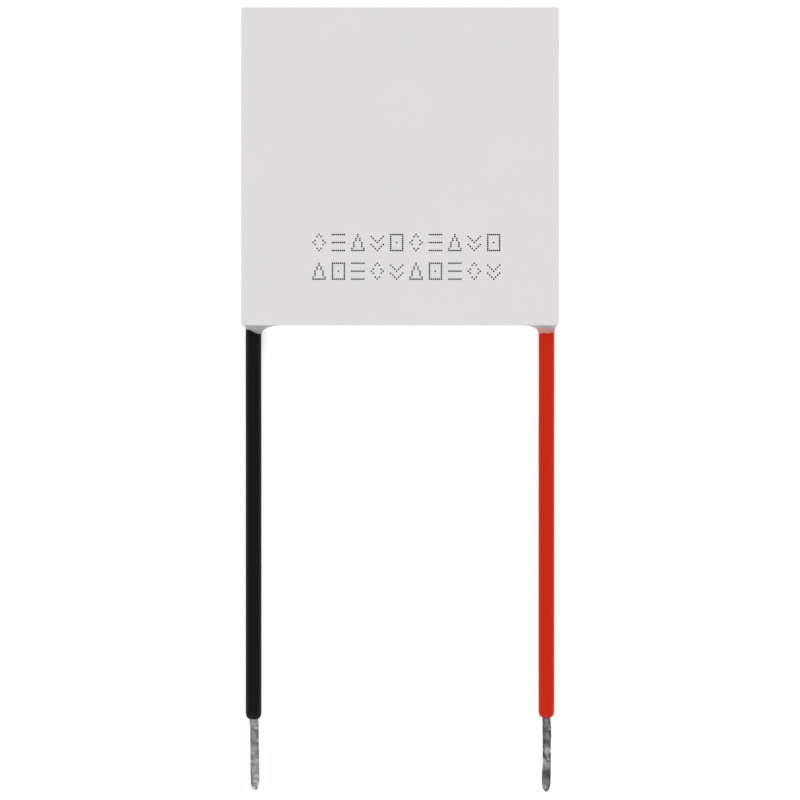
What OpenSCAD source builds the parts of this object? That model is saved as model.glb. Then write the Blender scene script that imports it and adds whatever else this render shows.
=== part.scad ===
// Thermoelectric cooling module.
// A grid of semiconductor legs stands between two ceramic plates. Copper tabs on the plates' inner faces
// join the legs into one series circuit, which snakes from the black lead's corner to the red lead's.
// A silicone bead seals the edge and rises into a collar round each lead.
// Units are millimetres. The origin is the centre of the hot face, which the module rests on.
// The cold face looks up, +Z, and both leads leave towards -Y.

/* [Plates] */
// Width of both ceramic plates, along X
plate_w = 40; // [36:0.5:62]
// Depth of both ceramic plates, along Y
plate_d = 40; // [36:0.5:62]
// Thickness of each ceramic plate
plate_t = 0.75; // [0.5:0.05:1]
// Radius of the plates' upright corners
plate_corner_r = 0.2; // [0.05:0.05:0.5]

/* [Couples] */
// Number of loops in the circuit, each of two columns of legs along Y
loops = 8; // [3:1:9]
// Number of pairs of legs in a column
pairs = 8; // [3:1:9]
// Side of each square leg
leg_w = 1.4; // [1:0.05:1.7]
// Height of each leg
leg_h = 1.8; // [1.3:0.1:3]
// Distance from the plates' edges to the outermost legs
edge_margin = 0.8; // [0.65:0.05:1.2]
// Thickness of the copper tabs
tab_t = 0.3; // [0.2:0.05:0.5]
// How far a tab stands out round the legs on it
tab_overhang = 0.2; // [0.1:0.05:0.3]
// Radius of the tabs' upright corners
tab_corner_r = 0.2; // [0.05:0.05:0.5]
// Thickness of the solder at each end of a leg
solder_t = 0.05; // [0.03:0.01:0.1]
// How far that solder spreads round the leg
solder_spread = 0.1; // [0.02:0.02:0.2]

/* [Leads] */
// Outside diameter of the insulation
sleeve_d = 2; // [1.6:0.1:2.2]
// Diameter of the strands inside the insulation
strand_d = 0.95; // [0.7:0.05:1.1]
// Diameter of the strands where solder covers them
tinned_d = 1; // [0.8:0.05:1.2]
// Length of the black lead's tinned end
black_end_l = 9.3; // [4:0.1:15]
// Length of the red lead's tinned end
red_end_l = 9.7; // [4:0.1:15]
// Distance from the plates' edges to the start of the insulation
sleeve_start = 0.2; // [0.1:0.05:0.4]
// Width of the foot of the solder that fixes a lead to its tab
lead_solder_w = 1.6; // [1.4:0.1:1.8]
// Thickness of that solder over the strands
lead_solder_cover = 0.08; // [0.04:0.02:0.12]
// Hollow of that solder's flanks
lead_solder_hollow = 0.06; // [0.02:0.02:0.1]

/* [Seal] */
// Hollow of the bead's outer face
bead_hollow = 0.25; // [0.1:0.05:0.3]
// Distance that the bead stands back from the plates' edges
bead_recess = 0.05; // [0.01:0.01:0.1]
// How far a collar spreads round its lead at the plates' edges
collar_spread = 1.8; // [1:0.1:2.5]
// How far a collar reaches along its lead
collar_reach = 1; // [0.6:0.1:2]
// Thickness of a collar's thin end
collar_lip = 0.08; // [0.04:0.02:0.2]
// Hollow of a collar's flank
collar_hollow = 0.3; // [0.1:0.05:0.4]
// How far a collar laps down over the hot plate's edge
collar_lap = 0.4; // [0.3:0.05:0.45]

/* [Clearances] */
// Clearance between the bead and the outermost tabs
bead_gap = 0.05; // [0.02:0.01:0.1]
// Clearance round the strands and the insulation where they pass through the bead
bore_gap = 0.02; // [0.01:0.01:0.04]
// Clearance between the strands and the insulation
strand_gap = 0.03; // [0.01:0.01:0.05]

/* [Hidden] */
LEADS = ["black_lead", "red_lead"];
LEAD_PIECES = ["sleeve", "conductor", "solder"];
LOOP_PIECES = ["p_legs", "n_legs", "hot_tabs", "cold_tabs", "hot_solder", "cold_solder"];

// Levels, from the hot face up
hot_tab_z = plate_t;
hot_solder_z = hot_tab_z + tab_t;
leg_z = hot_solder_z + solder_t;
cold_solder_z = leg_z + leg_h;
cold_tab_z = cold_solder_z + solder_t;
cold_plate_z = cold_tab_z + tab_t;

// The circuit's cells are numbered in the order that the current meets them. A cell holds one leg, except
// the first and the last, in the two corners at the front edge, where a lead is soldered to the tab.
columns = 2 * loops;
rows = 2 * pairs;
last_cell = columns * rows - 1;
pitch_x = (plate_w - 2 * edge_margin - leg_w) / (columns - 1);
pitch_y = (plate_d - 2 * edge_margin - leg_w) / (rows - 1);
tab_w = leg_w + 2 * tab_overhang;
solder_w = leg_w + 2 * solder_spread;
// Even cells hold n-type legs and begin a tab on the hot plate. Odd ones hold p-type legs and begin a tab
// on the cold plate.
even = 0;
odd = 1;

// The bead fills the margin outside the tabs.
bead_inner = edge_margin - tab_overhang - bead_gap;

// The leads run out along the middle of their corner tabs, with the strands on a film of solder.
front = plate_d / 2;
lead_x = plate_w / 2 - edge_margin - leg_w / 2;
lead_z = hot_solder_z + solder_t + strand_d / 2;
sleeve_y = -front - sleeve_start;
strand_y = -front + edge_margin + leg_w + tab_overhang;

// A lead's route past the start of its insulation: each point's distance out, and its share of the way down
// from the height of the tab to lying on what the module stands on.
LEAD_ROUTE = [
    [0, 0], [2, 0], [4, 0], [6, 0.05], [8, 0.2], [10, 0.5], [12, 0.8], [14, 0.95], [16, 1], [20, 1],
    [24, 1], [28, 1], [32, 1], [36, 1], [40, 1], [44, 1], [49, 1]
];
cord_sides = 8;

function column_of(cell) = floor(cell / rows);
function row_of(cell) = column_of(cell) % 2 == 0 ? cell % rows : rows - 1 - cell % rows;
function centre_of(cell) = [
    (column_of(cell) - (columns - 1) / 2) * pitch_x,
    (row_of(cell) - (rows - 1) / 2) * pitch_y
];
function cells_of(loop) = [for (i = [0 : 2 * rows - 1]) (loop - 1) * 2 * rows + i];
function holds_leg(cell) = cell > 0 && cell < last_cell;

// A point of the route of the lead at x
function route_point(x, step) = [x, sleeve_y - step[0], lead_z + step[1] * (sleeve_d / 2 - lead_z)];
function route_of(x) = [for (step = LEAD_ROUTE) route_point(x, step)];

// The direction of a route at its point i, from its neighbours
function heading(route, i) =
    let (ahead = route[min(i + 1, len(route) - 1)], behind = route[max(i - 1, 0)])
    (ahead - behind) / norm(ahead - behind);

// A ring of points of radius r round each point of a route that runs in a plane square to X
function rings(route, r) = [
    for (i = [0 : len(route) - 1], side = [0 : cord_sides - 1])
    let (angle = side * 360 / cord_sides, up = cross([1, 0, 0], heading(route, i)))
    route[i] + r * (cos(angle) * [1, 0, 0] + sin(angle) * up)
];

// The four-sided faces between neighbouring rings, of which the first point has the number given
function wall_faces(ring_count, first) = [
    for (ring = [0 : ring_count - 2], side = [0 : cord_sides - 1])
    let (
        near = first + ring * cord_sides,
        far = near + cord_sides,
        next = (side + 1) % cord_sides
    )
    [near + side, near + next, far + next, far + side]
];

// The faces of a flat end, from the outer ring to the inner one
function end_faces(outer, inner) = [
    for (side = [0 : cord_sides - 1])
    let (next = (side + 1) % cord_sides)
    [outer + side, inner + side, inner + next, outer + next]
];

function backwards(faces) = [for (face = faces) [for (i = [len(face) - 1 : -1 : 0]) face[i]]];

// The numbers of the points in one ring
function whole_ring(first) = [for (side = [0 : cord_sides - 1]) first + side];

// A round bar along a route
module bar(route, r) {
    last = (len(route) - 1) * cord_sides;
    faces = concat(
        wall_faces(len(route), 0),
        backwards([whole_ring(0)]),
        [whole_ring(last)]
    );
    polyhedron(rings(route, r), faces, convexity = 4);
}

// A pipe along a route
module pipe(route, outer_r, inner_r) {
    inner = len(route) * cord_sides;
    last = inner - cord_sides;
    faces = concat(
        wall_faces(len(route), 0),
        backwards(wall_faces(len(route), inner)),
        end_faces(0, inner),
        backwards(end_faces(last, inner + last))
    );
    polyhedron(concat(rings(route, outer_r), rings(route, inner_r)), faces, convexity = 4);
}

// A flat block with its upright corners rounded, whose lower face is centred on a place
module tile(place, w, d, t, r) {
    translate(place)
        linear_extrude(t) {
            square([w - 2 * r, d], center = true);
            square([w, d - 2 * r], center = true);
            for (x = [-1, 1], y = [-1, 1])
                translate([x * (w / 2 - r), y * (d / 2 - r)])
                    circle(r, $fn = 24);
        }
}

module plate(z) {
    tile([0, 0, z], plate_w, plate_d, plate_t, plate_corner_r);
}

// A square block of side w and height h, on a cell
module cell_block(cell, w, z, h) {
    centre = centre_of(cell);
    translate([centre.x - w / 2, centre.y - w / 2, z])
        cube([w, w, h]);
}

// The legs of one loop that stand on even or odd cells
module legs(loop, parity) {
    for (cell = cells_of(loop))
        if (holds_leg(cell) && cell % 2 == parity)
            cell_block(cell, leg_w, leg_z, leg_h);
}

// The solder at one end of every leg of a loop
module leg_solder(loop, z) {
    for (cell = cells_of(loop))
        if (holds_leg(cell))
            cell_block(cell, solder_w, z, solder_t);
}

// The tabs of one loop that begin on even or odd cells. Each spans its cell and the next.
module tabs(loop, parity, z) {
    for (cell = cells_of(loop))
        if (cell < last_cell && cell % 2 == parity) {
            a = centre_of(cell);
            b = centre_of(cell + 1);
            middle = (a + b) / 2;
            w = abs(a.x - b.x) + tab_w;
            d = abs(a.y - b.y) + tab_w;
            tile([middle.x, middle.y, z], w, d, tab_t, tab_corner_r);
        }
}

// A disc whose edge passes through a and b, and reaches the given depth past the line between them,
// to the left of the way from a to b
module hollow(a, b, depth) {
    chord = norm(b - a);
    r = (chord * chord / 4 + depth * depth) / (2 * depth);
    right = [b.y - a.y, a.x - b.x] / chord;
    translate((a + b) / 2 + (r - depth) * right)
        circle(r, $fn = 96);
}

// Turns what is drawn upwards so that it points out of the front edge
module outwards() {
    rotate([90, 0, 0])
        children();
}

// The bead between the plates, with its hollow outer face
module bead() {
    h = cold_plate_z - plate_t;
    w = plate_w - 2 * bead_recess;
    d = plate_d - 2 * bead_recess;
    difference() {
        tile([0, 0, plate_t], w, d, h, plate_corner_r);
        translate([-plate_w / 2 + bead_inner, -plate_d / 2 + bead_inner, 0])
            cube([plate_w - 2 * bead_inner, plate_d - 2 * bead_inner, cold_plate_z + plate_t]);
        for (turn = [0 : 3])
            rotate([0, 0, 90 * turn]) {
                face = (turn % 2 == 0 ? w : d) / 2;
                along = turn % 2 == 0 ? plate_d : plate_w;
                translate([0, along / 2, 0])
                    outwards()
                        linear_extrude(along)
                            hollow([face, plate_t], [face, cold_plate_z], bead_hollow);
            }
    }
}

// The collar round the lead at x, with its root in the bead
module collar(x) {
    wide_r = sleeve_d / 2 + collar_spread;
    thin_r = sleeve_d / 2 + collar_lip;
    root = front - bead_inner;
    end = front + collar_reach;
    side = plate_w / 2 - bead_recess;
    intersection() {
        translate([x, 0, lead_z])
            outwards()
                rotate_extrude($fn = 96)
                    difference() {
                        polygon([[0, root], [wide_r, root], [wide_r, front], [thin_r, end], [0, end]]);
                        hollow([wide_r, front], [thin_r, end], collar_hollow);
                    }
        union() {
            translate([-side, -front, plate_t])
                cube([2 * side, bead_inner, cold_plate_z - plate_t]);
            translate([-side, -end, plate_t - collar_lap])
                cube([2 * side, collar_reach, cold_plate_z - plate_t + collar_lap]);
        }
    }
}

// The stepped hole through the bead and the collar for the lead at x
module lead_hole(x) {
    translate([x, strand_y, lead_z])
        outwards()
            cylinder(h = strand_y - sleeve_y, r = strand_d / 2 + bore_gap, $fn = 48);
    translate([x, sleeve_y, lead_z])
        outwards()
            cylinder(h = collar_reach, r = sleeve_d / 2 + bore_gap, $fn = 64);
}

module seal() {
    color("whitesmoke")
        difference() {
            union() {
                bead();
                collar(-lead_x);
                collar(lead_x);
            }
            lead_hole(-lead_x);
            lead_hole(lead_x);
        }
}

// The insulation of the lead at x
module sleeve(x) {
    pipe(route_of(x), sleeve_d / 2, strand_d / 2 + strand_gap);
}

// The strands of the lead at x, from the tab to the tinned end
module conductor(x, end_l) {
    route = route_of(x);
    tip = route[len(route) - 1];
    bar(concat([[x, strand_y, lead_z]], route), strand_d / 2);
    translate(tip)
        outwards()
            cylinder(h = end_l, d = tinned_d, $fn = 48);
}

// The solder that fixes the lead at x to its tab. It covers the strands, and spreads out at its foot.
module lead_solder(x) {
    foot = lead_solder_w / 2;
    middle = solder_t + strand_d / 2;
    cover = strand_d / 2 + lead_solder_cover;
    translate([x, strand_y, hot_solder_z])
        outwards()
            linear_extrude(tab_w)
                difference() {
                    union() {
                        polygon([[-foot, 0], [foot, 0], [cover, middle], [-cover, middle]]);
                        translate([0, middle])
                            circle(cover, $fn = 48);
                    }
                    hollow([foot, 0], [cover, middle], lead_solder_hollow);
                    hollow([-cover, middle], [-foot, 0], lead_solder_hollow);
                    translate([0, middle])
                        circle(d = strand_d, $fn = cord_sides);
                    translate([-foot, -cover])
                        square([2 * foot, cover]);
                }
}

module hot_plate() { color("ghostwhite") plate(0); }
module cold_plate() { color("ghostwhite") plate(cold_plate_z); }
module black_lead_sleeve() { color("black") sleeve(-lead_x); }
module red_lead_sleeve() { color("firebrick") sleeve(lead_x); }
module black_lead_conductor() { color("silver") conductor(-lead_x, black_end_l); }
module red_lead_conductor() { color("silver") conductor(lead_x, red_end_l); }
module black_lead_solder() { color("gainsboro") lead_solder(-lead_x); }
module red_lead_solder() { color("gainsboro") lead_solder(lead_x); }
module p_legs(loop) { color("dimgray") legs(loop, odd); }
module n_legs(loop) { color("darkslategray") legs(loop, even); }
module hot_tabs(loop) { color("peru") tabs(loop, even, hot_tab_z); }
module cold_tabs(loop) { color("peru") tabs(loop, odd, cold_tab_z); }
module hot_solder(loop) { color("gainsboro") leg_solder(loop, hot_solder_z); }
module cold_solder(loop) { color("gainsboro") leg_solder(loop, cold_solder_z); }

hot_plate();
cold_plate();
seal();
black_lead_sleeve();
red_lead_sleeve();
black_lead_conductor();
red_lead_conductor();
black_lead_solder();
red_lead_solder();
for (loop = [1 : loops]) {
    p_legs(loop);
    n_legs(loop);
    hot_tabs(loop);
    cold_tabs(loop);
    hot_solder(loop);
    cold_solder(loop);
}
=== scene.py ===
"""Looks of a thermoelectric cooling module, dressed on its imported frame.

Two snapped alumina plates hide a grid of semiconductor legs. A silicone bead seals their edge, a silicone
collar wets each lead where it leaves, and each lead ends in twisted strands that were dipped in solder.
Lengths are metres. The origin is the centre of the hot face, the cold face looks up and the leads run to -Y.
"""

import logging
from collections.abc import Mapping, Sequence
from dataclasses import dataclass
from enum import Enum
from typing import Any

import bpy
import numpy as np
import numpy.typing as npt
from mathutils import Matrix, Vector


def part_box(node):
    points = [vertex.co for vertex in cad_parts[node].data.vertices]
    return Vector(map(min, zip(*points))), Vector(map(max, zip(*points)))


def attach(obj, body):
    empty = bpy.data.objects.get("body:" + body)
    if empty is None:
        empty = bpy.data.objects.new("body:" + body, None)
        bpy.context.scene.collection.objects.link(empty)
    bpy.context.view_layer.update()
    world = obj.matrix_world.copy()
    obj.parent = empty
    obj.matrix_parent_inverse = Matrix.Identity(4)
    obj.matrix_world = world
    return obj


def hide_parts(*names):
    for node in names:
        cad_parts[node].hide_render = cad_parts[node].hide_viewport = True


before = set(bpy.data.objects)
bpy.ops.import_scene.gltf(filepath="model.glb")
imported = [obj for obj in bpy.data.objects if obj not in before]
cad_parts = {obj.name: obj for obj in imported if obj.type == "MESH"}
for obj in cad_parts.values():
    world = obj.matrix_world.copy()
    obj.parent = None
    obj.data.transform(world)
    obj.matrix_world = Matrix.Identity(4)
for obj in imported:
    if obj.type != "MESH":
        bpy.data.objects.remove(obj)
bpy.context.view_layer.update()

Array = npt.NDArray[np.float64]
Indices = npt.NDArray[np.int64]
Triple = tuple[float, float, float]
Colour = Triple

BODY = "root"
WRAP = "wrap"
MM = 0.001
WHITE: Colour = (1.0, 1.0, 1.0)

# Strands round the outside of a lead's conductor, and the turns that they make in a metre.
STRAND_COUNT = 7
TWIST_TURNS = 170.0

log = logging.getLogger("module")


# ---------------------------------------------------------------- shapes


class Closing(Enum):
    """How a stack of rings becomes a closed surface."""

    POLES = "a fan to the middle of the first ring and of the last"
    LOOP = "the last ring joins the first"


@dataclass(frozen=True)
class Skin:
    """A closed surface.

    Attributes:
        points: Places of its points, one a row.
        faces: Numbers of each face's points, anticlockwise from outside.
        wrap: For each corner of each face, how many turns round and how many metres along it lies.
    """

    points: Array
    faces: list[list[int]]
    wrap: Array

    @classmethod
    def from_rings(cls, rings: Array, closing: Closing, along: Array | None = None) -> "Skin":
        """Joins neighbouring rings with quads: corners (i, j), (i, j + 1), (i + 1, j + 1), (i + 1, j).

        Args:
            rings: Points by ring, by step round the ring, and by axis. They run anticlockwise as seen from
                where the rings lead to.
            closing: How the stack is closed.
            along: Distance along the surface of each ring, or None for the number of the ring.

        Returns:
            The closed surface.
        """
        rows, columns = rings.shape[:2]
        reach = np.arange(rows, dtype=float) if along is None else along
        bands = rows if closing is Closing.LOOP else rows - 1
        grid = np.meshgrid(np.arange(bands), np.arange(columns), indexing="ij")
        i, j = (part.ravel() for part in grid)
        i_next, j_next = (i + 1) % rows, (j + 1) % columns
        corners = [(i, j), (i, j_next), (i_next, j_next), (i_next, j)]
        quads = np.stack([row * columns + column for row, column in corners], 1)
        turns = np.stack([j, j + 1, j + 1, j], 1) / columns
        points, faces = rings.reshape(-1, 3), quads.tolist()
        wrap = [cls._paired(turns, np.stack([reach[row] for row, _ in corners], 1))]
        if closing is Closing.POLES:
            step, after = np.arange(columns), (np.arange(columns) + 1) % columns
            last = (rows - 1) * columns
            first_pole, last_pole = (np.full(columns, len(points) + pole) for pole in (0, 1))
            faces += np.stack([first_pole, after, step], 1).tolist()
            faces += np.stack([last_pole, last + step, last + after], 1).tolist()
            points = np.concatenate([points, rings[[0, -1]].mean(1)])
            turns = np.stack([step + 0.5, step + 1, step], 1) / columns
            wrap += [cls._paired(turns, reach[0]), cls._paired(turns[:, [0, 2, 1]], reach[-1])]
        return cls(points, faces, np.concatenate(wrap))

    @staticmethod
    def _paired(turns: Array, metres: Array | float) -> Array:
        """Turns and metres of every corner, face by face, as one row for each corner."""
        return np.stack(np.broadcast_arrays(turns, metres), 2).reshape(-1, 2)

    def repeated(self, places: Array) -> "Skin":
        """A copy of the surface at each place, as one surface: every point plus every place.

        Args:
            places: Where the copies' own origins go, one a row.

        Returns:
            The copies together.
        """
        count = len(self.points)
        points = (places[:, None, :] + self.points[None, :, :]).reshape(-1, 3)
        starts = range(0, count * len(places), count)
        faces = [[start + corner for corner in face] for start in starts for face in self.faces]
        return Skin(points, faces, np.tile(self.wrap, (len(places), 1)))


@dataclass(frozen=True)
class Ripple:
    """A smooth random wave that repeats after one turn.

    It is a sum of sines of whole frequencies, each with a random phase and a weight of one over the root of
    its frequency, over the root of the sum of the squared weights.

    Attributes:
        seed: Seed of the phases.
        lowest: Fewest waves in a turn.
        highest: Most waves in a turn.
    """

    seed: int
    lowest: int
    highest: int

    def at(self, turns: Array) -> Array:
        """The wave's height, mostly from -1 to 1.

        Args:
            turns: How many turns round each place is.

        Returns:
            The height at each place.
        """
        waves = np.arange(self.lowest, self.highest + 1)
        weights = waves**-0.5
        phases = np.random.default_rng(self.seed).uniform(0, 2 * np.pi, waves.size)
        heights = np.sin(2 * np.pi * turns[..., None] * waves + phases) @ weights
        return heights / np.sqrt((weights**2).sum())


def full_turn(count: int) -> Array:
    """Angles spread evenly over one turn."""
    return np.linspace(0, 2 * np.pi, count, endpoint=False)


def quarter(count: int) -> Array:
    """Angles from 0 to a right angle, both included."""
    return np.linspace(0, np.pi / 2, count)


def rounded_square(half: float, radius: float, straight: int, arc: int) -> tuple[Array, Array]:
    """Outline of a square with rounded corners, anticlockwise from its right side.

    Each side is a straight run of points, and each corner an arc of the radius about a centre that stands the
    radius inside both sides. One side and the arc after it are made, and then turned by quarter turns.

    Args:
        half: Half the square's width.
        radius: Radius of its corners.
        straight: Number of points on a side.
        arc: Number of points on a corner.

    Returns:
        The points and the outward directions, each in x and y.
    """
    core = half - radius
    run = np.linspace(-core, core, straight, endpoint=False)
    bend = np.linspace(0, np.pi / 2, arc, endpoint=False)
    fanned = np.stack([np.cos(bend), np.sin(bend)], 1)
    points = np.concatenate([np.stack([np.full(straight, half), run], 1), core + radius * fanned])
    outward = np.concatenate([np.tile([1.0, 0.0], (straight, 1)), fanned])
    angles = np.arange(4) * np.pi / 2
    spins = [np.array([[np.cos(a), np.sin(a)], [-np.sin(a), np.cos(a)]]) for a in angles]
    all_round = [np.concatenate([part @ spin for spin in spins]) for part in (points, outward)]
    return all_round[0], all_round[1]


def at_height(flat: Array, z: Array | float) -> Array:
    """Points in x and y, given a height."""
    return np.concatenate([flat, np.broadcast_to(z, len(flat))[:, None]], 1)


def box_of(node: str) -> tuple[Array, Array]:
    """Lowest and highest corners of a node at rest."""
    low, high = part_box(node)
    return np.array(low), np.array(high)


# ---------------------------------------------------------------- shader maths


class Wire:
    """An output socket on which Python's operators add Math nodes."""

    def __init__(self, shader: "Shader", socket: bpy.types.NodeSocket) -> None:
        """Keeps the shader that the socket belongs to."""
        self.shader = shader
        self.socket = socket

    def _maths(self, operation: str, first: "Wire | float", second: "Wire | float") -> "Wire":
        """A Math node of two values."""
        return self.shader.node("Math", {"operation": operation}, {0: first, 1: second})

    def __add__(self, other: "Wire | float") -> "Wire":
        """This plus other."""
        return self._maths("ADD", self, other)

    def __radd__(self, other: "Wire | float") -> "Wire":
        """Other plus this."""
        return self._maths("ADD", other, self)

    def __sub__(self, other: "Wire | float") -> "Wire":
        """This minus other."""
        return self._maths("SUBTRACT", self, other)

    def __rsub__(self, other: "Wire | float") -> "Wire":
        """Other minus this."""
        return self._maths("SUBTRACT", other, self)

    def __mul__(self, other: "Wire | float") -> "Wire":
        """This times other."""
        return self._maths("MULTIPLY", self, other)

    def __rmul__(self, other: "Wire | float") -> "Wire":
        """Other times this."""
        return self._maths("MULTIPLY", other, self)

    def __abs__(self) -> "Wire":
        """This without its sign."""
        return self._maths("ABSOLUTE", self, 0.0)

    def sine(self) -> "Wire":
        """The sine of this, as an angle in radians."""
        return self._maths("SINE", self, 0.0)


class Shader:
    """The node tree of one material, round its Principled node."""

    def __init__(self, name: str) -> None:
        """Starts a material with only a Principled node and an output.

        Args:
            name: The material's name.
        """
        self.material = bpy.data.materials.new(name)
        self.material.use_nodes = True
        self.tree = self.material.node_tree
        self.tree.nodes.clear()
        self.surface = self.tree.nodes.new("ShaderNodeBsdfPrincipled")
        output = self.tree.nodes.new("ShaderNodeOutputMaterial")
        self.tree.links.new(self.surface.outputs[0], output.inputs[0])

    def node(
        self,
        kind: str,
        settings: Mapping[str, Any] | None = None,
        inputs: Mapping[str | int, Any] | None = None,
        output: str | int = 0,
    ) -> Wire:
        """Adds a node. Its settings come first, because they can change its sockets.

        Args:
            kind: The node's type, without its ShaderNode prefix.
            settings: The node's own properties.
            inputs: A value or a wire for each input socket, by name or number.
            output: The output socket to return.

        Returns:
            The output socket.
        """
        made = self.tree.nodes.new("ShaderNode" + kind)
        for name, value in (settings or {}).items():
            setattr(made, name, value)
        self._fill(made, inputs or {})
        return Wire(self, made.outputs[output])

    def _fill(self, node: bpy.types.Node, inputs: Mapping[str | int, Any]) -> None:
        """Sets or links a node's input sockets.

        Args:
            node: The node.
            inputs: A value or a wire for each input socket, by name or number.
        """
        for name, value in inputs.items():
            if isinstance(value, Wire):
                self.tree.links.new(value.socket, node.inputs[name])
            elif isinstance(value, tuple) and node.inputs[name].type == "RGBA":
                node.inputs[name].default_value = (*value, 1.0)
            else:
                node.inputs[name].default_value = value

    def finish(self, **inputs: Any) -> None:
        """Sets or links the Principled node's sockets, named with underscores for spaces."""
        self._fill(self.surface, {name.replace("_", " "): value for name, value in inputs.items()})

    def place(self) -> Wire:
        """The place on the object, in metres."""
        return self.node("TexCoord", output="Object")

    def split(self, vector: Wire) -> tuple[Wire, Wire, Wire]:
        """The three numbers of a vector.

        Args:
            vector: The vector.

        Returns:
            Its x, y and z.
        """
        first = self.node("SeparateXYZ", inputs={0: vector})
        outputs = first.socket.node.outputs
        return first, Wire(self, outputs[1]), Wire(self, outputs[2])

    def wrap(self) -> tuple[Wire, Wire]:
        """How many turns round the piece, and how many metres along it."""
        return self.split(self.node("UVMap", {"uv_map": WRAP}))[:2]

    def upward(self) -> Wire:
        """How far the surface faces up: 1 on top, 0 on a wall and -1 underneath."""
        return self.split(self.node("NewGeometry", output="Normal"))[2]

    def stretched(self, vector: Wire, scale: Triple) -> Wire:
        """A vector, with each axis times its own scale."""
        return self.node("VectorMath", {"operation": "MULTIPLY"}, {0: vector, 1: scale})

    def joined(self, x: Wire | float, y: Wire | float, z: Wire | float = 0.0) -> Wire:
        """A vector from its three numbers."""
        return self.node("CombineXYZ", inputs={0: x, 1: y, 2: z})

    def noise(self, vector: Wire, size: float, detail: float = 2.0, roughness: float = 0.5) -> Wire:
        """Smooth noise from 0 to 1 whose patches are about the size given."""
        values = {"Vector": vector, "Scale": 1 / size, "Detail": detail, "Roughness": roughness}
        return self.node("TexNoise", inputs=values)

    def cells(self, vector: Wire, size: float) -> Wire:
        """Distance to the nearest of scattered points that stand about the size apart, in sizes."""
        return self.node("TexVoronoi", inputs={"Vector": vector, "Scale": 1 / size})

    def step(self, value: Wire, low: float, high: float) -> Wire:
        """Rises smoothly from 0 at the low value to 1 at the high one."""
        inputs = {"Value": value, "From Min": low, "From Max": high}
        return self.node("MapRange", {"interpolation_type": "SMOOTHSTEP"}, inputs)

    def mix(self, share: Wire | float, first: Wire | Colour, second: Wire | Colour) -> Wire:
        """A colour between two, by the share of the second."""
        settings = {"data_type": "RGBA", "clamp_factor": True}
        return self.node("Mix", settings, {0: share, 6: first, 7: second}, output=2)

    def bump(self, height: Wire, depth: float) -> Wire:
        """A normal bent by a height, whose step from 0 to 1 is the depth given."""
        return self.node("Bump", inputs={"Height": height, "Distance": depth})


# ---------------------------------------------------------------- finishes


@dataclass(frozen=True)
class Finish:
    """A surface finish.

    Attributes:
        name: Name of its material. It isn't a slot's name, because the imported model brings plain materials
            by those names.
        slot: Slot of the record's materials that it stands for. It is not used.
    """

    name: str
    slot: str

    def material(self) -> bpy.types.Material:
        """The finish's material, made when it is first asked for.

        Returns:
            The material.
        """
        made = bpy.data.materials.get(self.name)
        if made is None:
            shader = Shader(self.name)
            self.paint(shader)
            made = shader.material
        return made

    def paint(self, shader: Shader) -> None:
        """Adds the finish's own nodes."""
        raise NotImplementedError


@dataclass(frozen=True)
class Alumina(Finish):
    """Sintered alumina, matte and nearly white, with laser scribe marks down its snapped edges.

    Attributes:
        pale: Colour of most of it.
        dull: Colour of its clouds.
        pore: Colour of its pores and scribe marks.
        cloud_size: Size of its clouds.
        grain_size: Size of its surface grain.
        pore_spacing: Distance between its pores.
        scribe_pitch: Distance between its scribe marks.
        wander_size: Length over which a scribe mark wanders.
        depth: Depth of its grain and scribe marks.
    """

    pale: Colour = (0.718, 0.7, 0.711)
    dull: Colour = (0.69, 0.676, 0.684)
    pore: Colour = (0.5, 0.48, 0.46)
    cloud_size: float = 7 * MM
    grain_size: float = 0.16 * MM
    pore_spacing: float = 1.3 * MM
    scribe_pitch: float = 0.13 * MM
    wander_size: float = 0.8 * MM
    depth: float = 0.012 * MM

    def paint(self, shader: Shader) -> None:
        """Mottles the white, speckles it with pores, and grooves the walls at the scribe's pitch.

        Args:
            shader: The material that it paints.
        """
        place = shader.place()
        x, y, _ = shader.split(place)
        cloud = shader.noise(place, self.cloud_size, 3)
        grain = shader.noise(place, self.grain_size, 2, 0.7)
        pores = 1 - shader.step(shader.cells(place, self.pore_spacing), 0.03, 0.07)
        wall = 1 - shader.step(abs(shader.upward()), 0.3, 0.8)
        wander = 1.5 * shader.noise(place, self.wander_size)
        grooves = ((x + y) * (2 * np.pi / self.scribe_pitch) + wander).sine() * wall
        body = shader.mix(cloud * 0.7 + grain * 0.3, self.dull, self.pale)
        specked = shader.mix(pores * 0.45, body, self.pore)
        shader.finish(
            Base_Color=shader.mix(wall * 0.25 + grooves * 0.12, specked, self.pore),
            Roughness=0.58 + grain * 0.14,
            Normal=shader.bump(grain * 0.35 + grooves * 0.65, self.depth),
            Specular_IOR_Level=0.35,
        )


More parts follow.
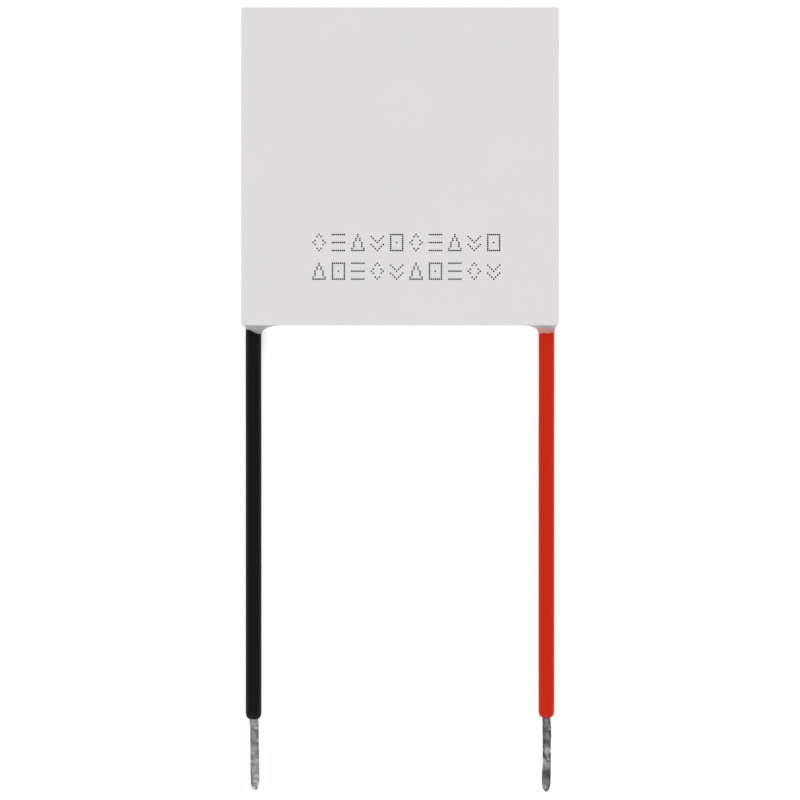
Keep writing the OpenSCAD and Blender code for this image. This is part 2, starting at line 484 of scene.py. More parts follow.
@dataclass(frozen=True)
class Silicone(Finish):
    """Cured white silicone, smeared by hand, with a satin skin. Its mid grey is partly its own tone and
    partly painted shade.

    Attributes:
        under: Colour of what shows through where the silicone thins out.
        thin_from: Share of the way along at which it starts to show.
        thin_over: Share of the way along over which it comes to show fully.
        body: Colour of the silicone, a mid grey that is partly its own tone and partly painted shade.
        dirt: Colour of its dull streaks.
        streak_size: Width of its streaks.
        lump_size: Size of its lumps.
        bubble_spacing: Distance between its bubbles.
        depth: Depth of its streaks, lumps and bubbles.
    """

    under: Colour = (0.35, 0.35, 0.35)
    thin_from: float = 0.6
    thin_over: float = 0.35
    # A mid grey for white silicone: partly its own tone, partly painted shade.
    body: Colour = (0.383, 0.375, 0.381)
    dirt: Colour = (0.31, 0.3, 0.29)
    streak_size: float = 1.4 * MM
    lump_size: float = 0.5 * MM
    bubble_spacing: float = 0.55 * MM
    depth: float = 0.03 * MM

    def paint(self, shader: Shader) -> None:
        """Smears dull streaks along the silicone, and lets what is under it through its thin edge.

        Args:
            shader: The material that it paints.
        """
        place, along = shader.place(), shader.wrap()[1]
        streaks = shader.noise(shader.stretched(place, (1.0, 1.0, 2.5)), self.streak_size, 4, 0.6)
        lumps = shader.noise(place, self.lump_size, 2)
        bubbles = 1 - shader.step(shader.cells(place, self.bubble_spacing), 0.1, 0.2)
        ragged = along + (streaks - 0.5) * 0.25
        thin = shader.step(ragged, self.thin_from, self.thin_from + self.thin_over)
        smeared = shader.mix(shader.step(streaks, 0.45, 0.75) * 0.6, self.body, self.dirt)
        shader.finish(
            Base_Color=shader.mix(thin * 0.75, smeared, self.under),
            Roughness=0.36 + streaks * 0.2,
            Normal=shader.bump(lumps * 0.7 + streaks * 0.8 - bubbles * 0.3, self.depth),
            Specular_IOR_Level=0.4,
        )


@dataclass(frozen=True)
class Pvc(Finish):
    """Extruded insulation, with faint lines along it and a little handling dust.

    Attributes:
        colour: Colour of the plastic.
        dusty: Colour where dust and scuffs lie.
        line_width: Width of the extruder's lines.
        cloud_size: Size of the clouds of dust.
        dust_size: Size of a speck of dust.
        heated: How far along the heat of the solder starts to dull it, and how far along it has.
        depth: Depth of its lines.
    """

    colour: Colour = (0.5, 0.5, 0.5)
    dusty: Colour = (0.6, 0.6, 0.6)
    line_width: float = 0.09 * MM
    cloud_size: float = 3 * MM
    dust_size: float = 0.25 * MM
    heated: tuple[float, float] = (48.5 * MM, 49.2 * MM)
    depth: float = 0.01 * MM

    def paint(self, shader: Shader) -> None:
        """Draws the extruder's lines by stretching noise along the piece, and scatters dust.

        Args:
            shader: The material that it paints.
        """
        place, along = shader.place(), shader.wrap()[1]
        lines = shader.noise(shader.stretched(place, (1.0, 0.02, 1.0)), self.line_width, 2)
        cloud = shader.noise(place, self.cloud_size, 3)
        dust = shader.step(shader.noise(place, self.dust_size, 4, 0.75), 0.66, 0.78)
        nose = shader.step(along, *self.heated)
        shader.finish(
            Base_Color=shader.mix(dust * 0.3 + cloud * 0.16 + nose * 0.1, self.colour, self.dusty),
            Roughness=0.42 + lines * 0.12 + dust * 0.2,
            Normal=shader.bump(lines * 0.5 + cloud * 0.5, self.depth),
            Specular_IOR_Level=0.1,
        )


@dataclass(frozen=True)
class TinnedStrands(Finish):
    """Copper strands dipped in solder, bright where it is thick, and dull with flux in the hollows.

    Attributes:
        bright: Colour of thick solder.
        dull: Colour of thin solder and flux.
        offset: Where in the noise its patches are taken from.
        grime: How much duller all of it is.
        tip_shine: How much more bright solder there is past the place where it starts to run together.
        tip_from: How far along that place is.
        tip_over: Length over which it comes to run together.
        patch_turns: Patches that lie along a metre.
        sway: How far a patch follows the twist round.
        fine_size: Size of its surface grain.
        depth: Depth of its grain and patches.
    """

    bright: Colour = (0.62, 0.6, 0.58)
    dull: Colour = (0.2, 0.185, 0.18)
    offset: float = 0.0
    grime: float = 0.0
    tip_shine: float = 0.0
    tip_from: float = 54.5 * MM
    tip_over: float = 1.5 * MM
    patch_turns: float = 420.0
    sway: float = 0.45
    fine_size: float = 0.14 * MM
    depth: float = 0.05 * MM

    def paint(self, shader: Shader) -> None:
        """Follows the twist with dark hollows, and scatters bright spots of solder.

        What faces up is painted lighter and the sides painted darker, as painted light and shade.

        Args:
            shader: The material that it paints.
        """
        turns, along = shader.wrap()
        twist = turns + along * TWIST_TURNS
        hollows = (twist * (2 * np.pi * STRAND_COUNT)).sine() * 0.5 + 0.5
        swayed = (twist * (2 * np.pi)).sine() * self.sway
        slant = shader.joined(swayed, along * self.patch_turns, self.offset)
        patches = shader.noise(slant, 0.6, 3, 0.55)
        near_tip = shader.step(along, self.tip_from, self.tip_from + self.tip_over) * self.tip_shine
        blots = shader.noise(shader.stretched(slant, (1.6, 2.6, 1.0)), 0.9, 1)
        spots = shader.step(near_tip + blots, 0.6, 0.7)
        fine = shader.noise(shader.place(), self.fine_size, 3, 0.7)
        solder = shader.step(patches, 0.3, 0.72) * 0.65 + hollows * 0.14 + fine * 0.16 + spots * 0.75
        # Painted light and shade: what faces up is lighter, and the sides darker.
        painted_light_and_shade = (shader.step(shader.upward(), -0.1, 0.95) - 0.86) * 0.6
        shader.finish(
            Base_Color=shader.mix(solder + painted_light_and_shade - self.grime, self.dull, self.bright),
            Metallic=0.75,
            Roughness=0.5 - spots * 0.22 + fine * 0.1,
            Normal=shader.bump(fine * 0.35 + patches * 0.65, self.depth),
        )


@dataclass(frozen=True)
class Metal(Finish):
    """A soft metal that has dulled in patches.

    Attributes:
        clean: Colour where it is clean.
        tarnished: Colour where it has dulled.
        roughness: Its roughness where it is clean.
        patch_size: Size of its patches.
        grain_size: Size of its surface grain.
        depth: Depth of its grain.
    """

    clean: Colour = (0.6, 0.6, 0.6)
    tarnished: Colour = (0.4, 0.4, 0.4)
    roughness: float = 0.35
    patch_size: float = 1.5 * MM
    grain_size: float = 0.1 * MM
    depth: float = 0.01 * MM

    def paint(self, shader: Shader) -> None:
        """Blends clean and tarnished metal by clouds, with a fine grain.

        Args:
            shader: The material that it paints.
        """
        place = shader.place()
        cloud = shader.step(shader.noise(place, self.patch_size, 4, 0.6), 0.4, 0.65)
        grain = shader.noise(place, self.grain_size, 2)
        shader.finish(
            Base_Color=shader.mix(cloud * 0.8 + grain * 0.2, self.clean, self.tarnished),
            Metallic=1.0,
            Roughness=self.roughness + cloud * 0.2 + grain * 0.1,
            Normal=shader.bump(grain, self.depth),
        )


@dataclass(frozen=True)
class BismuthTelluride(Finish):
    """Sawn semiconductor, dark and metallic, which glitters where its layers are cut.

    Attributes:
        colour: Colour of the sawn faces.
        glint: Colour of the layers that catch the light.
        layer_size: Width of its layers.
        saw_size: Width of the saw's marks.
        depth: Depth of its layers and marks.
    """

    colour: Colour = (0.16, 0.16, 0.17)
    glint: Colour = (0.42, 0.42, 0.44)
    layer_size: float = 0.09 * MM
    saw_size: float = 0.05 * MM
    depth: float = 0.01 * MM

    def paint(self, shader: Shader) -> None:
        """Stretches noise into upright layers, and crosses it with level saw marks.

        Args:
            shader: The material that it paints.
        """
        place = shader.place()
        layers = shader.noise(shader.stretched(place, (1.0, 1.0, 0.12)), self.layer_size, 3, 0.65)
        saw = shader.noise(shader.stretched(place, (0.1, 0.1, 1.0)), self.saw_size, 2)
        shader.finish(
            Base_Color=shader.mix(shader.step(layers, 0.5, 0.75), self.colour, self.glint),
            Metallic=0.8,
            Roughness=0.5 - layers * 0.2,
            Normal=shader.bump(layers * 0.5 + saw * 0.5, self.depth),
        )


@dataclass(frozen=True)
class Ink(Finish):
    """Printed ink, thinner and greyer in places.

    Attributes:
        dark: Colour where it is thick.
        worn: Colour where it is thin.
        wear_size: Size of its thin places.
        grain_size: Size of its surface grain.
        depth: Depth of that grain.
    """

    dark: Colour = (0.035, 0.034, 0.036)
    worn: Colour = (0.13, 0.128, 0.13)
    wear_size: float = 0.3 * MM
    grain_size: float = 0.06 * MM
    depth: float = 0.003 * MM

    def paint(self, shader: Shader) -> None:
        """Wears the ink through fine noise.

        Args:
            shader: The material that it paints.
        """
        place = shader.place()
        wear = shader.step(shader.noise(place, self.wear_size, 4, 0.7), 0.45, 0.75)
        shader.finish(
            Base_Color=shader.mix(wear, self.dark, self.worn),
            Roughness=0.62 + wear * 0.2,
            Normal=shader.bump(shader.noise(place, self.grain_size), self.depth),
            Specular_IOR_Level=0.3,
        )


@dataclass(frozen=True)
class Floor(Finish):
    """A plain pale sweep of paper, with the faintest tooth.

    Attributes:
        paper: Colour of the paper.
        hollows: Colour of the hollows of its tooth.
        tooth_size: Size of its tooth.
        glow: How strongly it is lifted to white.
    """

    paper: Colour = (0.93, 0.93, 0.93)
    hollows: Colour = (0.92, 0.92, 0.92)
    tooth_size: float = 1 * MM
    glow: float = 0.42

    def paint(self, shader: Shader) -> None:
        """Varies the paper by less than the eye sees, and lifts it to white.

        Args:
            shader: The material that it paints.
        """
        tooth = shader.noise(shader.place(), self.tooth_size, 2)
        shader.finish(
            Base_Color=shader.mix(tooth, self.paper, self.hollows),
            Roughness=0.9,
            Specular_IOR_Level=0.1,
            Emission_Color=WHITE,
            Emission_Strength=self.glow,
        )


ALUMINA = Alumina("sintered_alumina", "alumina")
BEAD_SILICONE = Silicone("bead_silicone", "silicone")
BLACK_COLLAR_SILICONE = Silicone(
    "black_collar_silicone", "silicone", under=(0.16, 0.16, 0.155), thin_from=0.72
)
RED_COLLAR_SILICONE = Silicone("red_collar_silicone", "silicone", under=(0.62, 0.19, 0.18), thin_from=0.4)
BLACK_PVC = Pvc("black_pvc", "pvc_black", colour=(0.003, 0.0029, 0.003), dusty=(0.016, 0.016, 0.017))
RED_PVC = Pvc("red_pvc", "pvc_red", colour=(0.54, 0.015, 0.0015), dusty=(0.5, 0.045, 0.02))
PINKISH_STRANDS = TinnedStrands(
    "pinkish_tinned_strands", "tinned_strands",
    bright=(0.57, 0.525, 0.51), dull=(0.13, 0.107, 0.105), grime=0.09, tip_shine=0.1,
)
GREY_STRANDS = TinnedStrands(
    "grey_tinned_strands", "tinned_strands",
    bright=(0.44, 0.43, 0.41), dull=(0.055, 0.053, 0.05), offset=4.0, grime=0.15,
)
SOLDER = Metal("soft_solder", "solder", clean=(0.64, 0.63, 0.61), tarnished=(0.4, 0.4, 0.39), roughness=0.3)
COPPER = Metal(
    "rolled_copper", "copper", clean=(0.78, 0.39, 0.25), tarnished=(0.5, 0.22, 0.13), roughness=0.32
)
P_TELLURIDE = BismuthTelluride("sawn_telluride_p", "bismuth_telluride_p")
N_TELLURIDE = BismuthTelluride(
    "sawn_telluride_n", "bismuth_telluride_n", colour=(0.19, 0.185, 0.18), glint=(0.46, 0.45, 0.43)
)
MARKING_INK = Ink("printed_ink", "marking_ink")
FLOOR_PAPER = Floor("floor_paper", "")


def make_object(name: str, skin: Skin, finish: Finish) -> bpy.types.Object:
    """Makes a smooth mesh object of a surface, at the origin, with its finish.

    Args:
        name: The object's name.
        skin: Its surface.
        finish: Its finish.

    Returns:
        The object, linked to the scene.
    """
    mesh = bpy.data.meshes.new(name)
    mesh.from_pydata(skin.points, [], skin.faces)
    wrap = mesh.uv_layers.new(name=WRAP)
    wrap.data.foreach_set("uv", skin.wrap.astype(np.float32).ravel())
    mesh.polygons.foreach_set("use_smooth", np.ones(len(mesh.polygons), bool))
    mesh.materials.append(finish.material())
    mesh.update()
    made = bpy.data.objects.new(name, mesh)
    bpy.context.scene.collection.objects.link(made)
    return made


def make_piece(name: str, skin: Skin, finish: Finish, replaced: Sequence[str] = ()) -> bpy.types.Object:
    """Makes a piece of the module that rides on its body and stands for the nodes it replaces.

    Args:
        name: The piece's name.
        skin: Its surface.
        finish: Its finish.
        replaced: Names of the nodes that it stands for.

    Returns:
        The piece.
    """
    piece = make_object(name, skin, finish)
    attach(piece, BODY)
    if replaced:
        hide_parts(*replaced)
    log.info("%s: %d points, %s", name, len(skin.points), finish.name)
    return piece


# ---------------------------------------------------------------- studio


@dataclass(frozen=True)
class Softbox:
    """A square soft light that faces the middle of the view.

    Attributes:
        name: The light's name.
        place: Where it hangs.
        width: Its width.
        power: Its power in watts.
    """

    name: str
    place: Triple
    width: float
    power: float

    def build(self, aim: Vector) -> None:
        """Hangs the light and turns it.

        Args:
            aim: The point that it faces.
        """
        light = bpy.data.lights.new(self.name, "AREA")
        light.size = self.width
        light.energy = self.power
        held = bpy.data.objects.new(self.name, light)
        held.location = self.place
        held.rotation_euler = (aim - held.location).to_track_quat("-Z", "Y").to_euler()
        bpy.context.scene.collection.objects.link(held)


@dataclass(frozen=True)
class Studio:
    """A camera straight above the module, soft light from all round, and a pale floor.

    Attributes:
        view_width: Width of what the camera sees at the cold face.
        view_centre_y: Where the middle of the view falls on the Y axis.
        camera_height: Height of the camera above the cold face.
        sky: Strength of the light from all round.
        reach: Nearest and furthest that the camera sees.
        floor_half: Half the floor's width.
        floor_corner: Radius of the floor's corners.
        floor_thickness: Thickness of the floor.
        softboxes: The lights.
    """

    view_width: float = 100.6 * MM
    view_centre_y: float = -29.4 * MM
    camera_height: float = 0.6
    sky: float = 0.62
    reach: tuple[float, float] = (0.01, 10.0)
    floor_half: float = 1.5
    floor_corner: float = 0.3
    floor_thickness: float = 2 * MM
    softboxes: tuple[Softbox, ...] = (
        Softbox("front_softbox", (-0.25, -0.9, 0.95), 0.8, 6.5),
        Softbox("back_softbox", (0.35, 0.85, 0.9), 0.7, 4.5),
    )

    def add_camera(self) -> None:
        """Hangs the camera, with a lens that gives the view its width at that height."""
        lens = bpy.data.cameras.new("camera")
        lens.lens = lens.sensor_width * self.camera_height / self.view_width
        lens.clip_start, lens.clip_end = self.reach
        camera = bpy.data.objects.new("camera", lens)
        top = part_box("cold_plate")[1].z
        camera.location = (0.0, self.view_centre_y, top + self.camera_height)
        bpy.context.scene.collection.objects.link(camera)
        bpy.context.scene.camera = camera
        bpy.context.scene.view_settings.view_transform = "Standard"

    def add_lights(self) -> None:
        """Fills the world with pale light and hangs the softboxes."""
        world = bpy.data.worlds.new("studio")
        world.use_nodes = True
        background = world.node_tree.nodes["Background"]
        background.inputs["Color"].default_value = (*WHITE, 1.0)
        background.inputs["Strength"].default_value = self.sky
        bpy.context.scene.world = world
        for softbox in self.softboxes:
            softbox.build(Vector((0.0, self.view_centre_y, 0.0)))

    def add_floor(self) -> None:
        """Lays a floor just under the module, as a thin slab with its corners rounded."""
        outline = rounded_square(self.floor_half, self.floor_corner, straight=8, arc=12)[0]
        rings = np.stack([at_height(outline, -self.floor_thickness), at_height(outline, 0.0)])
        floor = make_object("floor", Skin.from_rings(rings, Closing.POLES), FLOOR_PAPER)
        floor.data.polygons.foreach_set("use_smooth", np.zeros(len(floor.data.polygons), bool))

    def build(self) -> None:
        """Sets up the camera, the light and the floor."""
        self.add_camera()
        self.add_lights()
        self.add_floor()
        log.info("studio: camera, %d softboxes and floor", len(self.softboxes))


# ---------------------------------------------------------------- leads

# The route of both leads past the start of their insulation, as the solids have it: distance out, and share
# of the way down from the height of the tab to lying on what the module stands on.
LEAD_ROUTE = (
    (0.000, 0.0), (0.002, 0.0), (0.004, 0.0), (0.006, 0.05), (0.008, 0.2), (0.010, 0.5), (0.012, 0.8),
    (0.014, 0.95), (0.016, 1.0), (0.020, 1.0), (0.024, 1.0), (0.028, 1.0), (0.032, 1.0), (0.036, 1.0),
    (0.040, 1.0), (0.044, 1.0), (0.049, 1.0),
)


def eased(x: Array, knots: Array, values: Array) -> Array:
    """A smooth curve through knots that doesn't overshoot them.

    Between two knots it is a cubic. Its slope at a knot is the harmonic mean of the slopes to both sides, or
    level where one of them is level. Past the last knot it stays level.

    Args:
        x: Where to work it out.
        knots: Where the knots stand, in order.
        values: The curve's height at each.

    Returns:
        The curve's height at each x.
    """
    rises = np.diff(values) / np.diff(knots)
    both = rises[:-1] * rises[1:]
    total = np.where(both > 0, rises[:-1] + rises[1:], 1.0)
    slopes = np.concatenate([[0.0], np.where(both > 0, 2 * both / total, 0.0), [0.0]])
    left = np.clip(np.searchsorted(knots, x, side="right") - 1, 0, len(knots) - 2)
    width = knots[left + 1] - knots[left]
    t = np.clip((x - knots[left]) / width, 0.0, 1.0)
    start = (1 + 2 * t) * (1 - t) ** 2 * values[left] + t * (1 - t) ** 2 * width * slopes[left]
    end = t**2 * (3 - 2 * t) * values[left + 1] - t**2 * (1 - t) * width * slopes[left + 1]
    return start + end


@dataclass(frozen=True)
class Lead:
    """An insulated lead that ends in strands dipped in solder.

    Attributes:
        name: Name of the lead's nodes, before what each is.
        insulation: Finish of the insulation.
        metal: Finish of the strands.
        drift: How far the strands stand to +X of the insulation, just past it and at their tip.
        creep: How far the insulation's end has crept along the strands, as it does when they are tinned.
        swelling: How much the solder swells near the tip.
        drop: How far the last drop of solder hangs past the strands' own tip.
        coat: Thickness of the solder over the strands.
        seed: Seed of the solder's lumps.
        length: Length of the insulation.
        nose: Length of the rounded end of the insulation.
        bore_room: How far the insulation's mouth stands clear of the strands.
        tuck: How far inside the insulation its bore's mouth starts.
        solder_tuck: How far inside the insulation the solder starts.
        bare_step: How much thinner the strands are where they aren't tinned.
        groove: Depth of the hollow between two strands.
        filled: Share of that depth that the thickest solder fills.
        lump: Height of the solder's lumps.
        lump_turns: Turns that the lumps make round the strands in a metre.
        cover: Share of the thickest solder that there is on average, and how much that varies.
        swell_at: Where the swelling is, as a share of the way out, and how far it spreads.
        tip: Length over which the strands close to their tip.
        bluntness: Power of the superellipse that closes the tip.
        drift_start: How fast the drift sets in, as a share of the way out.
        least_cover: Share of the thickest solder that there is everywhere.
        tip_close: Share of a right angle that the tip's last ring stands at.
        wall_rings: Number of rings down the insulation's outer wall, round its nose and down its bore.
        strand_rings: Number of rings down the hidden strands, down those that show and round their tip.
        sides: Number of points round the insulation and round the strands.
    """

    name: str
    insulation: Finish
    metal: Finish
    drift: tuple[float, float]
    creep: float
    swelling: float
    drop: float
    coat: float
    seed: int
    length: float = 49 * MM
    nose: float = 0.8 * MM
    bore_room: float = 0.01 * MM
    tuck: float = 0.3 * MM
    solder_tuck: float = 0.2 * MM
    bare_step: float = 0.025 * MM
    groove: float = 0.09 * MM
    filled: float = 0.72
    lump: float = 0.03 * MM
    lump_turns: float = 90.0
    cover: tuple[float, float] = (0.75, 0.5)
    swell_at: tuple[float, float] = (0.82, 0.1)
    tip: float = 1.2 * MM
    bluntness: float = 2.6
    drift_start: float = 1 / 12
    least_cover: float = 0.15
    tip_close: float = 0.985
    wall_rings: tuple[int, int, int] = (97, 9, 40)
    strand_rings: tuple[int, int, int] = (60, 110, 14)
    sides: int = 56

    @property
    def end(self) -> float:
        """How far out the insulation ends."""
        return self.length + self.creep

    def radius(self, part: str) -> float:
        """Half the width of the lead's node for a part."""
        low, high = box_of(f"{self.name}_{part}")
        return (high[0] - low[0]) / 2

    def exit_point(self) -> tuple[float, float, float]:
        """The middle of the insulation's first ring, where it leaves the seal."""
        low, high = box_of(self.name + "_sleeve")
        return (low[0] + high[0]) / 2, high[1], high[2] - self.radius("sleeve")

    def swept(self, distances: Array, radii: Array) -> Array:
        """Rings round the lead's route: centre + radius times (cosine along X, sine along the route's up).

        Args:
            distances: How far out from the start of the insulation each ring stands. A negative one is inside
                the module.
            radii: Radius of each ring, or at each ring and step round it.

        Returns:
            Points by ring, step and axis.
        """
        exit_x, exit_y, exit_z = self.exit_point()
        knots, shares = np.array(LEAD_ROUTE).T
        height = eased(distances, knots, exit_z + shares * (self.radius("sleeve") - exit_z))
        slope = np.gradient(height, distances)
        up = np.stack([np.zeros_like(slope), slope, np.ones_like(slope)], 1)
        up /= np.sqrt(1 + slope**2)[:, None]
        centres = np.stack([np.full_like(height, exit_x), exit_y - distances, height], 1)
        angles = full_turn(self.sides)
        radii = radii.reshape(distances.size, -1)
        across = (radii * np.cos(angles))[..., None] * np.array([1.0, 0.0, 0.0])
        upward = (radii * np.sin(angles))[..., None] * up[:, None, :]
        return centres[:, None, :] + across + upward

    def build_insulation(self) -> tuple[bpy.types.Object, Array]:
        """Makes the insulation: its outer wall, its rounded nose, and its bore back to the start.

        Returns:
            The piece, and the centres of the rings of its outer wall.
        """
        outer, inner = self.radius("sleeve"), self.radius("conductor")
        mouth = inner + self.bore_room
        wall_rings, nose_rings, bore_rings = self.wall_rings
        bend = quarter(nose_rings)[1:]
        wall = np.linspace(0, self.end - self.nose, wall_rings)
        nose = self.end - self.nose + self.nose * np.sin(bend)
        back = np.linspace(self.end - self.tuck, 0, bore_rings)
        outside = np.concatenate([wall, nose])
        outside_radii = np.concatenate([np.full(wall.size, outer), mouth + (outer - mouth) * np.cos(bend)])
        outside_points = self.swept(outside, outside_radii)
        bore_points = self.swept(back[::-1], np.full(back.size, inner))[::-1]
        rings = np.concatenate([outside_points, bore_points])
        skin = Skin.from_rings(rings, Closing.LOOP, np.concatenate([outside, back]))
        piece = make_piece(self.name + "_insulation", skin, self.insulation, [self.name + "_sleeve"])
        return piece, outside_points.mean(1)

    def strand_radii(self, distances: Array, reach: float) -> Array:
        """Radius of the strands: their own, less the hollows between them, plus the solder.

        A hollow between neighbouring strands turns with the twist, and solder fills part of it. Lumps and a
        swelling are added, and all of it closes to the tip as a superellipse.

        Args:
            distances: How far out each ring stands.
            reach: How far out the tip is.

        Returns:
            Radii by ring and by step round it.
        """
        turns = np.arange(self.sides) / self.sides
        out = self.share_out(distances, reach)
        dipped = np.where(out > 0, 1.0, 0.0)
        bare = self.radius("conductor") - self.bare_step
        hollow = 1 - np.abs(np.sin(np.pi * STRAND_COUNT * (turns + distances[:, None] * TWIST_TURNS)))
        lumps = Ripple(self.seed, 1, 4).at(turns + distances[:, None] * self.lump_turns)
        usual, varied = self.cover
        cover = np.clip(usual + varied * Ripple(self.seed + 1, 3, 9).at(out), self.least_cover, 1)
        middle, spread = self.swell_at
        swell = self.swelling * np.exp(-(((out - middle) / spread) ** 2))
        depth = self.groove * (1 - self.filled * cover * dipped)
        radii = bare + dipped * (self.bare_step + self.coat + self.lump * lumps + swell) - hollow**2 * depth
        near_tip = np.clip((distances - reach + self.tip) / self.tip, 0, 1)
        close = np.sqrt(np.clip(1 - near_tip**self.bluntness, 0, 1))
        return radii * close[:, None]

    def share_out(self, distances: Array, reach: float) -> Array:
        """Share of the way from the insulation's end to the tip, as a column."""
        return np.clip((distances - self.end) / (reach - self.end), 0, 1)[:, None]

    def build_strands(self) -> bpy.types.Object:
        """Makes the twisted strands, from their solder joint inside to their tip.

        Returns:
            The piece.
        """
        low, high = box_of(self.name + "_conductor")
        exit_y = self.exit_point()[1]
        inside, reach = exit_y - high[1], exit_y - low[1] + self.drop
        hidden_rings, shown_rings, tip_rings = self.strand_rings
        hidden = np.linspace(inside, self.end - self.tuck, hidden_rings)
        shown = np.linspace(self.end - self.solder_tuck, reach - self.tip, shown_rings)
        tip = reach - self.tip + self.tip * np.sin(quarter(tip_rings)[1:] * self.tip_close)
        distances = np.concatenate([hidden, shown, tip])
        rings = self.swept(distances, self.strand_radii(distances, reach))
        out = self.share_out(distances, reach)
        first, last = self.drift
        rings[..., 0] += (first + (last - first) * out) * (1 - np.exp(-out / self.drift_start))
        skin = Skin.from_rings(rings, Closing.POLES, distances)
        return make_piece(self.name + "_strands", skin, self.metal, [self.name + "_conductor"])

    def build(self) -> None:
        insulation, centres = self.build_insulation()
        strands = self.build_strands()


# ---------------------------------------------------------------- plates and marking


@dataclass(frozen=True)
class Plate:
    """An alumina plate with its edges broken, whose walls are a little uneven where it was snapped.

    Attributes:
        node: Name of the plate's node.
        seed: Seed of the walls' unevenness.
        corner: Radius of its upright corners.
        broken: Radius of its broken edges.
        uneven: Depth of its walls' unevenness.
        waves: Fewest and most waves of that unevenness in a turn round the plate.
        lean: How far the waves lean as they go up, in turns for a metre.
        face_rings: Sizes of the rings on each face, as shares of the plate's.
        edge_rings: Number of rings round a broken edge.
        wall_rings: Number of rings up the wall, with those at its ends.
        straight: Number of points on a side.
        arc: Number of points on a corner.
    """

    node: str
    seed: int
    corner: float = 0.2 * MM
    broken: float = 0.05 * MM
    uneven: float = 0.02 * MM
    waves: tuple[int, int] = (20, 160)
    lean: float = 9.0
    face_rings: tuple[float, ...] = (0.3, 0.6, 0.85, 0.97, 0.99)
    edge_rings: int = 5
    wall_rings: int = 7
    straight: int = 110
    arc: int = 8

    def profile(self, thickness: float) -> tuple[Array, Array]:
        """The wall's profile from the lower face up, with a quarter of a circle round each broken edge.

        Args:
            thickness: The plate's thickness.

        Returns:
            How far in, and how high, each ring stands.
        """
        bend = quarter(self.edge_rings)
        inset = self.broken * (1 - np.sin(bend))
        rise = self.broken * (1 - np.cos(bend))
        wall = np.linspace(self.broken, thickness - self.broken, self.wall_rings)[1:-1]
        insets = np.concatenate([inset, np.zeros(wall.size), inset[::-1]])
        return insets, np.concatenate([rise, wall, (thickness - rise)[::-1]])

    def build(self) -> None:
        """Makes the plate: shrinking squares on each face, and the uneven wall between them."""
        low, high = box_of(self.node)
        outline, outward = rounded_square((high[0] - low[0]) / 2, self.corner, self.straight, self.arc)
        turns = np.arange(len(outline)) / len(outline)
        snapped = Ripple(self.seed, *self.waves)
        rings = [at_height(outline * share, low[2]) for share in self.face_rings]
        for inset, rise in zip(*self.profile(high[2] - low[2])):
            depth = inset + self.uneven * (0.5 + 0.5 * snapped.at(turns + rise * self.lean))
            rings.append(at_height(outline - outward * np.clip(depth, 0, None)[:, None], low[2] + rise))
        rings += [at_height(outline * share, high[2]) for share in self.face_rings[::-1]]
        skin = Skin.from_rings(np.stack(rings), Closing.POLES)
        make_piece(self.node + "_ceramic", skin, ALUMINA, [self.node])


# Half the width and half the height of a figure, in dots past its middle one.
FIGURE_HALVES = (3, 4)


class Figure(Enum):
    """A plain figure of the marking, built of dots."""

    DIAMOND = "diamond"
    TRIANGLE = "triangle"
    CHEVRONS = "chevrons"
    BARS = "bars"
    FRAME = "frame"

    def dots(self, column: Indices, row: Indices) -> npt.NDArray[np.bool_]:
        """Which dots of a block belong to the figure.

        Args:
            column: Each dot's column, from minus the half-width to the half-width.
            row: Each dot's row, from minus the half-height to the half-height, upwards.

        Returns:
            True for each dot that it has.
        """
        half_width, half_height = FIGURE_HALVES
        side = np.abs(column)
        match self:
            case Figure.DIAMOND:
                return np.abs(np.abs(row) + side * half_height / half_width - half_height) < 0.5
            case Figure.TRIANGLE:
                edge = np.round((half_height - row) * half_width / (2 * half_height))
                return (row == -half_height) | (side == edge)
            case Figure.CHEVRONS:
                return ((row - side) % half_height == 0) & (row < half_height)
            case Figure.BARS:
                return row % half_height == 0
            case Figure.FRAME:
                border = (side == half_width) | (np.abs(row) == half_height)
                return border | ((side == 0) & (row == 0))


MARKING_ROWS = (
    (Figure.DIAMOND, Figure.BARS, Figure.TRIANGLE, Figure.CHEVRONS, Figure.FRAME) * 2,
    (Figure.TRIANGLE, Figure.FRAME, Figure.BARS, Figure.DIAMOND, Figure.CHEVRONS) * 2,
)


